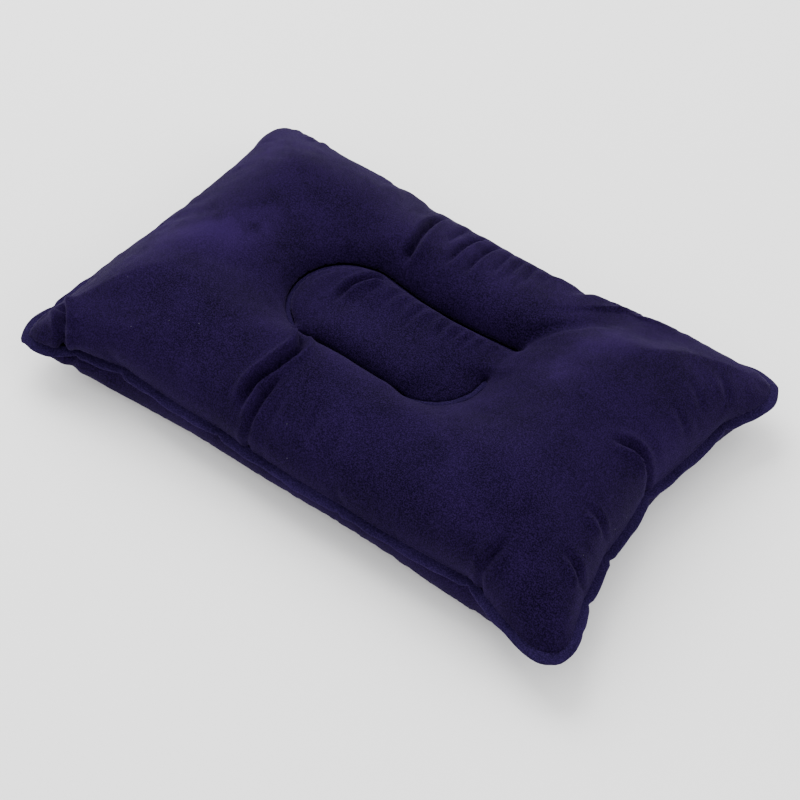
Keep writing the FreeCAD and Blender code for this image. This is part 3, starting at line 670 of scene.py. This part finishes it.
SETTLE_ROUNDS, SETTLE_SHARE = 150, 0.8


def settled(mesh, points):
    """Even out the simulation's own folds away from the welds, where the photograph shows a smooth film."""
    edges = np.zeros(len(mesh.edges) * 2, np.int32)
    mesh.edges.foreach_get("vertices", edges)
    a, b = edges.reshape(-1, 2).T
    count = np.bincount(edges, minlength=len(points))
    free = (SETTLE_SHARE * smooth_step(7 * MM, 28 * MM, distance_to(points[:, :2], SEAM_POINTS))
            * smooth_step(3 * MM, 14 * MM, distance_to(points[:, :2], SHAPE[:CUT.weld_count, :2])))
    z = points[:, 2].copy()
    for _ in range(SETTLE_ROUNDS):
        around = np.bincount(a, z[b], len(points)) + np.bincount(b, z[a], len(points))
        z += free * (around / count - z)
    return np.c_[points[:, :2], z]


def make_top_cover():
    obj = smooth_sheet("top_cover", SHAPE, CUT.top)
    full = settled(obj.data, plump(coordinates(obj.data), 1))
    set_coordinates(obj.data, to_row_frame(full))
    creased(obj.data, TOP_CREASES, SEED + 1)
    return finish_film(obj, "top_panel")


VALVE_AXIS = Vector((-0.287606, 0.287606, -0.913545)).normalized()
VALVE_CENTRE = Vector((-0.127, 0.076, 0.0072))
VALVE_FRAME = Matrix.LocRotScale(VALVE_CENTRE, Vector((0, 0, 1)).rotation_difference(VALVE_AXIS), None)
BASE_RADIUS = 14 * MM
HOLE_RADIUS, HOLE_DEPTH = BASE_RADIUS - 0.05 * MM, 12 * MM


def make_bottom_cover():
    obj = smooth_sheet("bottom_cover", SHAPE, CUT.bottom)
    full = settled(obj.data, plump(coordinates(obj.data), -1))
    set_coordinates(obj.data, to_row_frame(full))
    creased(obj.data, BOTTOM_CREASES, SEED + 2)
    points = coordinates(obj.data)
    centre, axis = np.array(VALVE_CENTRE), np.array(VALVE_AXIS)
    off = points - centre
    radius = np.linalg.norm(off - np.outer(off @ axis, axis), axis=1)
    on_plane = centre[2] - (off[:, 0] * axis[0] + off[:, 1] * axis[1]) / axis[2]
    rim = SHAPE[:CUT.weld_count, :2]
    hold = 1 - smooth_step(15 * MM, 32 * MM, radius)
    hold = hold * smooth_step(0, 3 * MM, distance_to(points[:, :2], rim))
    points[:, 2] += (on_plane - points[:, 2]) * hold
    points[:, 2] = on_the_floor(points[:, 2])
    set_coordinates(obj.data, points)
    obj = finish_film(obj, "bottom_panel")
    return cut_valve_hole(obj)


def finish_film(obj, node):
    with_modifiers(obj, ("SOLIDIFY", {"thickness": FILM_THICK, "offset": -1, "use_even_offset": False}))
    shade_smooth(obj)
    obj.data.materials.clear()
    obj.data.materials.append(flocked)
    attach(obj, "pillow")
    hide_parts(node)
    return obj


def cut_valve_hole(obj):
    """A round hole for the valve's base, cut square to the valve's axis."""
    mesh = bpy.data.meshes.new("hole")
    bm = bmesh.new()
    bmesh.ops.create_cone(bm, cap_ends=True, segments=72, radius1=HOLE_RADIUS, radius2=HOLE_RADIUS,
                          depth=HOLE_DEPTH, matrix=VALVE_FRAME)
    bm.to_mesh(mesh)
    bm.free()
    tool = new_object("hole", mesh)
    with_modifiers(obj, ("BOOLEAN", {"operation": "DIFFERENCE", "object": tool, "solver": "EXACT"}))
    bpy.data.objects.remove(tool)
    shade_smooth(obj)
    return obj


# ---------------------------------------------------------------- the welds
def resampled_loop(loop, step):
    """A closed loop as a smooth curve with even spacing."""
    n = len(loop)
    dense = []
    for i in range(n):
        p0, p1, p2, p3 = loop[i - 1], loop[i], loop[(i + 1) % n], loop[(i + 2) % n]
        for f in (0, 0.25, 0.5, 0.75):
            dense.append(0.5 * (2 * p1 + (p2 - p0) * f + (2 * p0 - 5 * p1 + 4 * p2 - p3) * f * f
                                + (3 * p1 - p0 - 3 * p2 + p3) * f ** 3))
    dense = np.array(dense)
    closed = np.vstack([dense, dense[:1]])
    length = np.r_[0, np.linalg.norm(np.diff(closed, axis=0), axis=1).cumsum()]
    at = np.linspace(0, length[-1], round(length[-1] / step), endpoint=False)
    return np.stack([np.interp(at, length, closed[:, d]) for d in range(3)], 1), at


FLANGE_TILT = math.radians(-14)
FLANGE_STEP, NOTCH_REACH = 1.6 * MM, 1.8 * MM
# the flange's section: share of its width outward from the weld line, share of its half thickness
FLANGE_SECTION = [(-0.22, 0.6), (0.0, 1.05), (0.09, 0.82), (0.18, 0.95), (0.72, 0.95), (0.90, 0.86),
                  (0.98, 0.5), (1.0, 0.0), (0.98, -0.5), (0.90, -0.86), (0.72, -0.95), (0.18, -0.95),
                  (0.09, -0.82), (0.0, -1.05), (-0.22, -0.6)]


def rim_kinks():
    """The points where the sides kink, at the rim weld."""
    found = []
    for side, kinks in DRAWN_IN.items():
        for along, depth in kinks:
            across = (HALF_LENGTH if side in ("left", "right") else HALF_WIDTH) / MM - depth
            found.append({"right": (across, along), "left": (-across, along),
                          "rear": (along, across), "front": (along, -across)}[side])
    return np.array(found) * MM


def make_flange():
    loop = to_row_frame(SHAPE[:CUT.weld_count])
    loop, at = resampled_loop(loop, FLANGE_STEP)
    along = np.roll(loop, -1, 0) - np.roll(loop, 1, 0)
    out = np.c_[along[:, 1], -along[:, 0], np.zeros(len(loop))]
    out /= np.linalg.norm(out, axis=1)[:, None]
    for _ in range(6):
        out = (np.roll(out, 1, 0) + 2 * out + np.roll(out, -1, 0)) / 4
        out /= np.linalg.norm(out, axis=1)[:, None]
    turn = 2 * math.pi * at / (at[-1] + FLANGE_STEP)
    short_wave = 0.35 * np.sin(67 * turn + 1.3 * np.sin(9 * turn))
    long_wave = 0.55 * np.sin(23 * turn + 2 * np.sin(5 * turn))
    wave = (short_wave + long_wave) * MM
    notch = np.exp(-(distance_to(loop[:, :2], rim_kinks()) / NOTCH_REACH) ** 2)
    width = FLANGE_WIDTH * (1 + 0.05 * np.sin(41 * turn + np.sin(7 * turn)) - 0.3 * notch)
    up = np.array([0, 0, 1.0])
    rings = []
    for share, height in FLANGE_SECTION:
        reach = share * width
        sway = wave * max(share, 0) ** 1.5
        rings.append(loop + out * (reach * math.cos(FLANGE_TILT))[:, None]
                     + up * (reach * math.sin(FLANGE_TILT) + sway + height * FLANGE_THICK / 2)[:, None])
    n, m = len(loop), len(rings)
    points = np.array(rings).transpose(1, 0, 2).reshape(-1, 3)
    faces = [(i * m + j, i * m + (j + 1) % m, (i + 1) % n * m + (j + 1) % m, (i + 1) % n * m + j)
             for i in range(n) for j in range(m)]
    obj = new_object("rim_flange", mesh_from("rim_flange", points, faces))
    face_outward(obj.data)
    shade_smooth(obj)
    obj.data.materials.append(pressed)
    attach(obj, "pillow")
    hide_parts("rim_weld")
    return obj


def make_seam(name, faces, node):
    points, faces = used_only(SHAPE, faces)
    obj = new_object(name, mesh_from(name, to_row_frame(points), faces))
    with_modifiers(obj, ("SOLIDIFY", {"thickness": SEAM_THICK, "offset": 0, "use_even_offset": True}),
                   ("BEVEL", {"width": 0.3 * MM, "segments": 2, "limit_method": "ANGLE"}))
    shade_smooth(obj)
    obj.data.materials.clear()
    obj.data.materials.append(pressed)
    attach(obj, "pillow")
    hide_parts(node)
    return obj


# ---------------------------------------------------------------- the plug's strap
STRAP_WIDTH, STRAP_THICK, STRAP_REACH, STRAP_ROOT = 2.6 * MM, 0.7 * MM, 7.3 * MM, 7.6 * MM
HEAD_RADIUS, STEM_RADIUS, STRAP_TOP = 5.4 * MM, 4.6 * MM, -1.665 * MM
STRAP_BEND = 1.85 * MM     # how far the band's loop stands out from its middle


def make_strap():
    """A flat band that leaves the plug's head, bends down and comes back to the stem."""
    radius = (STRAP_TOP + STRAP_ROOT) / 2
    middle = [(HEAD_RADIUS - 0.2 * MM, STRAP_TOP), (HEAD_RADIUS + 0.1 * MM, STRAP_TOP)]
    centre_x = STRAP_REACH - STRAP_BEND
    for k in range(1, 12):
        a = math.pi / 2 - math.pi * k / 12
        middle.append((centre_x + STRAP_BEND * math.cos(a), STRAP_TOP - radius + radius * math.sin(a)))
    middle.append((STEM_RADIUS + 0.3 * MM, -STRAP_ROOT))
    middle.append((STEM_RADIUS - 0.4 * MM, -STRAP_ROOT))
    middle = np.array(middle)
    along = np.gradient(middle, axis=0)
    along /= np.linalg.norm(along, axis=1)[:, None]
    across = np.stack([-along[:, 1], along[:, 0]], 1)
    section = [(1, 0.6), (0.85, 1), (-0.85, 1), (-1, 0.6), (-1, -0.6), (-0.85, -1), (0.85, -1), (1, -0.6)]
    points = []
    for p, n in zip(middle, across):
        for w, t in section:
            x, z = p + n * t * STRAP_THICK / 2
            points.append((x, w * STRAP_WIDTH / 2, z))
    m, rows = len(section), len(middle)
    faces = [(i * m + j, (i + 1) * m + j, (i + 1) * m + (j + 1) % m, i * m + (j + 1) % m)
             for i in range(rows - 1) for j in range(m)]
    faces += [tuple(range(m))[::-1], tuple((rows - 1) * m + j for j in range(m))]
    obj = new_object("plug_strap", mesh_from("plug_strap", points, faces))
    face_outward(obj.data)
    shade_smooth(obj)
    obj.data.transform(VALVE_FRAME)
    obj.data.materials.append(plug_vinyl)
    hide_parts("valve_strap")
    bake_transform(obj)
    return obj


# ---------------------------------------------------------------- materials
class Nodes:
    """A material's node tree, with short ways to add and link nodes."""

    def __init__(self, name):
        self.material = bpy.data.materials.new(name)
        self.material.use_nodes = True
        self.tree = self.material.node_tree
        self.shader = self.tree.nodes["Principled BSDF"]
        self.place = self.tree.nodes.new("ShaderNodeTexCoord").outputs["Object"]

    def add(self, kind, settings=None, **inputs):
        node = self.tree.nodes.new(kind)
        for key, value in (settings or {}).items():
            setattr(node, key, value)
        for key, value in inputs.items():
            by_number = key[0] == "i" and key[1:].isdigit()
            socket = node.inputs[int(key[1:]) if by_number else key.replace("_", " ")]
            if isinstance(value, bpy.types.NodeSocket):
                self.tree.links.new(value, socket)
            else:
                socket.default_value = value
        return node

    def noise(self, size, detail=2.0, rough=0.5):
        """Noise whose grain is about that many metres across, from 0 to 1."""
        node = self.add("ShaderNodeTexNoise", Vector=self.place, Scale=1 / size, Detail=detail,
                        Roughness=rough)
        return node.outputs["Fac"]

    def math(self, operation, a, b=0.0, clamp=False):
        return self.add("ShaderNodeMath", {"operation": operation, "use_clamp": clamp}, i0=a, i1=b).outputs[0]

    def ramp(self, value, low, high, out_low=0.0, out_high=1.0):
        return self.add("ShaderNodeMapRange", {"interpolation_type": "SMOOTHSTEP"}, Value=value, From_Min=low,
                        From_Max=high, To_Min=out_low, To_Max=out_high).outputs[0]

    def mix(self, share, a, b, blend="MIX"):
        node = self.add("ShaderNodeMix", {"data_type": "RGBA", "blend_type": blend})
        for index, value in ((0, share), (6, a), (7, b)):
            if isinstance(value, bpy.types.NodeSocket):
                self.tree.links.new(value, node.inputs[index])
            else:
                node.inputs[index].default_value = value
        return node.outputs[2]

    def bump(self, height, strength, distance, under=None):
        node = self.add("ShaderNodeBump", Height=height, Strength=strength, Distance=distance)
        if under:
            self.tree.links.new(under, node.inputs["Normal"])
        return node.outputs["Normal"]

    def link(self, value, socket):
        self.tree.links.new(value, self.shader.inputs[socket])

    def set(self, **values):
        for key, value in values.items():
            self.shader.inputs[key.replace("_", " ")].default_value = value


# painted sheen, lighter patches on the upper film where the flock catches the light: x and y in mm, reach in
# mm, strength
PAINTED_SHEEN_SPOTS = [(-103, -3, 30, 0.55), (-92, 12, 18, 0.35), (74, 16, 17, 0.45), (79, 45, 22, 0.35),
                 (-128, 60, 40, 0.30), (-134, -20, 36, 0.30)]
# the painted sheen patches are centred at this height, so they fall on the upper film
SPOT_HEIGHT = 50 * MM


def make_flocked(name, dark, light, grain, sheen):
    """Short velvet flock on vinyl: fine grain, painted sheen in lighter patches, and a little lint."""
    m = Nodes(name)
    clouds = m.noise(26 * MM, 3.0, 0.55)
    patches = m.ramp(m.noise(40 * MM, 2.0, 0.6), 0.56, 0.74)
    fine = m.noise(0.62 * MM, 2.0, 0.8)
    pile = m.noise(0.38 * MM, 2.0, 0.6)
    speckle = m.ramp(fine, 0.40, 0.64)
    nap_and_sheen = m.math("ADD", m.math("MULTIPLY", speckle, 0.62), m.math("MULTIPLY", m.ramp(clouds, 0.3, 0.7), 0.18))
    nap_and_sheen = m.math("ADD", nap_and_sheen, m.math("MULTIPLY", patches, 0.10))
    # painted sheen: each listed patch lightens the colour, broken up by the clouds
    for x, y, reach, strength in PAINTED_SHEEN_SPOTS:
        centre = (x * MM, y * MM, SPOT_HEIGHT)
        spot = m.add("ShaderNodeVectorMath", {"operation": "DISTANCE"}, i0=m.place, i1=centre)
        uneven = m.math("MULTIPLY", m.ramp(spot.outputs["Value"], reach * MM, 0.0), m.ramp(clouds, 0.25, 0.6))
        nap_and_sheen = m.math("ADD", nap_and_sheen, m.math("MULTIPLY", uneven, strength))
    colour = m.mix(nap_and_sheen, dark, light)
    cell = m.add("ShaderNodeTexVoronoi", {"feature": "F1"}, Vector=m.place, Scale=1 / (6.5 * MM))
    fleck = m.math("MULTIPLY", m.ramp(cell.outputs["Distance"], 0.028, 0.012),
                   m.ramp(m.add("ShaderNodeSeparateColor", i0=cell.outputs["Color"]).outputs[0], 0.80, 0.82))
    colour = m.mix(m.math("MULTIPLY", fleck, 0.5), colour, (0.34, 0.34, 0.40, 1))
    m.link(colour, "Base Color")
    m.link(m.ramp(clouds, 0.2, 0.8, 0.86, 0.97), "Roughness")
    m.set(Sheen_Weight=sheen, Sheen_Roughness=0.42, Sheen_Tint=(0.50, 0.34, 0.98, 1), Specular_IOR_Level=0.03)
    normal = m.bump(fine, 0.55, grain)
    m.link(m.bump(pile, 0.45, grain * 0.5, normal), "Normal")
    return m.material


def make_vinyl(name, dark, light, roughness):
    """Soft moulded vinyl: satin, slightly uneven in tone and roughness, with a fine stipple."""
    m = Nodes(name)
    uneven = m.noise(5 * MM, 3.0, 0.5)
    stipple = m.noise(0.35 * MM, 2.0, 0.5)
    m.link(m.mix(m.ramp(uneven, 0.3, 0.7), dark, light), "Base Color")
    m.link(m.ramp(uneven, 0.25, 0.75, roughness - 0.07, roughness + 0.08), "Roughness")
    m.set(Specular_IOR_Level=0.45)
    m.link(m.bump(stipple, 0.2, 0.05 * MM, m.bump(uneven, 0.15, 0.3 * MM)), "Normal")
    return m.material


def make_clear_film():
    m = Nodes("clear_film")
    haze = m.noise(3 * MM, 2.0, 0.5)
    m.link(m.mix(m.ramp(haze, 0.3, 0.7), (0.50, 0.55, 0.62, 1), (0.62, 0.67, 0.74, 1)), "Base Color")
    m.link(m.ramp(haze, 0.2, 0.8, 0.12, 0.25), "Roughness")
    m.set(Transmission_Weight=0.6, IOR=1.5)
    m.link(m.bump(haze, 0.1, 0.1 * MM), "Normal")
    return m.material


def make_floor_paint():
    m = Nodes("studio_floor")
    tone = m.noise(0.4, 2.0, 0.5)
    m.link(m.mix(tone, (0.93, 0.93, 0.93, 1), (0.96, 0.96, 0.96, 1)), "Base Color")
    m.set(Roughness=0.8, Specular_IOR_Level=0.1)
    return m.material


flocked = make_flocked("flocked_film", dark=(0.0012, 0.0004, 0.0052, 1), light=(0.0158, 0.0068, 0.0450, 1),
                       grain=0.5 * MM, sheen=0.055)
pressed = make_flocked("welded_edge", dark=(0.0040, 0.0020, 0.0140, 1), light=(0.0230, 0.0125, 0.0620, 1),
                       grain=0.25 * MM, sheen=0.07)
body_vinyl = make_vinyl("valve_body", (0.018, 0.020, 0.070, 1), (0.028, 0.031, 0.100, 1), 0.40)
plug_vinyl = make_vinyl("valve_plug", (0.022, 0.024, 0.082, 1), (0.034, 0.038, 0.118, 1), 0.36)
clear_film = make_clear_film()


def dress_valve():
    """The valve's CAD pieces keep their shape and get soft vinyl."""
    for node, material in (("valve_base", body_vinyl), ("valve_stem", body_vinyl), ("valve_plug", plug_vinyl),
                           ("valve_flap", clear_film)):
        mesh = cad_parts[node].data
        mesh.materials.clear()
        mesh.materials.append(material)


# ---------------------------------------------------------------- studio
CAMERA_AZIMUTH, CAMERA_ELEVATION, CAMERA_ROLL = 34.2, 47.7, 3.1
CAMERA_DISTANCE, CAMERA_LENS = 1.120, 109.8
CAMERA_AIM = Vector((0.0148, -0.0196, MIDDLE_HEIGHT))
WORLD_STRENGTH = 1.45


def make_camera():
    camera = bpy.data.cameras.new("camera")
    camera.sensor_width = 36
    camera.lens = CAMERA_LENS
    camera.clip_start, camera.clip_end = 0.05, 20
    obj = new_object("camera", camera)
    a, e, r = (math.radians(v) for v in (CAMERA_AZIMUTH, CAMERA_ELEVATION, CAMERA_ROLL))
    ahead = Vector((-math.sin(a) * math.cos(e), math.cos(a) * math.cos(e), -math.sin(e)))
    right = Vector((math.cos(a), math.sin(a), 0))
    up = right.cross(ahead)
    turned_right = right * math.cos(r) + up * math.sin(r)
    turned_up = up * math.cos(r) - right * math.sin(r)
    rotation = Matrix((turned_right, turned_up, -ahead)).transposed()
    obj.matrix_world = Matrix.Translation(CAMERA_AIM - ahead * CAMERA_DISTANCE) @ rotation.to_4x4()
    bpy.context.scene.camera = obj


def make_light(name, size, energy, azimuth, elevation, distance):
    light = bpy.data.lights.new(name, "AREA")
    light.shape, light.size, light.energy = "SQUARE", size, energy
    obj = new_object(name, light)
    a, e = math.radians(azimuth), math.radians(elevation)
    back = Vector((math.sin(a) * math.cos(e), -math.cos(a) * math.cos(e), math.sin(e)))
    obj.location = back * distance
    obj.rotation_mode = "QUATERNION"
    obj.rotation_quaternion = back.to_track_quat("Z", "Y")


def make_studio():
    floor_mesh = mesh_from("studio_floor", [(-6, -6, 0), (6, -6, 0), (6, 6, 0), (-6, 6, 0)], [(0, 1, 2, 3)])
    floor = new_object("studio_floor", floor_mesh)
    floor.data.materials.append(make_floor_paint())
    floor.location.z = -0.0005
    world = bpy.data.worlds.new("studio")
    world.use_nodes = True
    world.node_tree.nodes["Background"].inputs[0].default_value = (1, 1, 1, 1)
    world.node_tree.nodes["Background"].inputs[1].default_value = WORLD_STRENGTH
    bpy.context.scene.world = world
    make_light("key_above", 1.4, 44, 240, 50, 1.8)
    make_light("fill_right", 1.0, 10, 100, 30, 1.8)
    make_light("fill_front", 1.2, 5, 10, 45, 1.8)


# ---------------------------------------------------------------- the whole
CUT, SHAPE = inflated_pillow()
SEAM_POINTS = seam_lines()
make_top_cover()
make_bottom_cover()
make_flange()
make_seam("rear_seam", CUT.rear, "rear_weld")
make_seam("front_seam", CUT.front, "front_weld")
make_strap()
dress_valve()
make_studio()
make_camera()
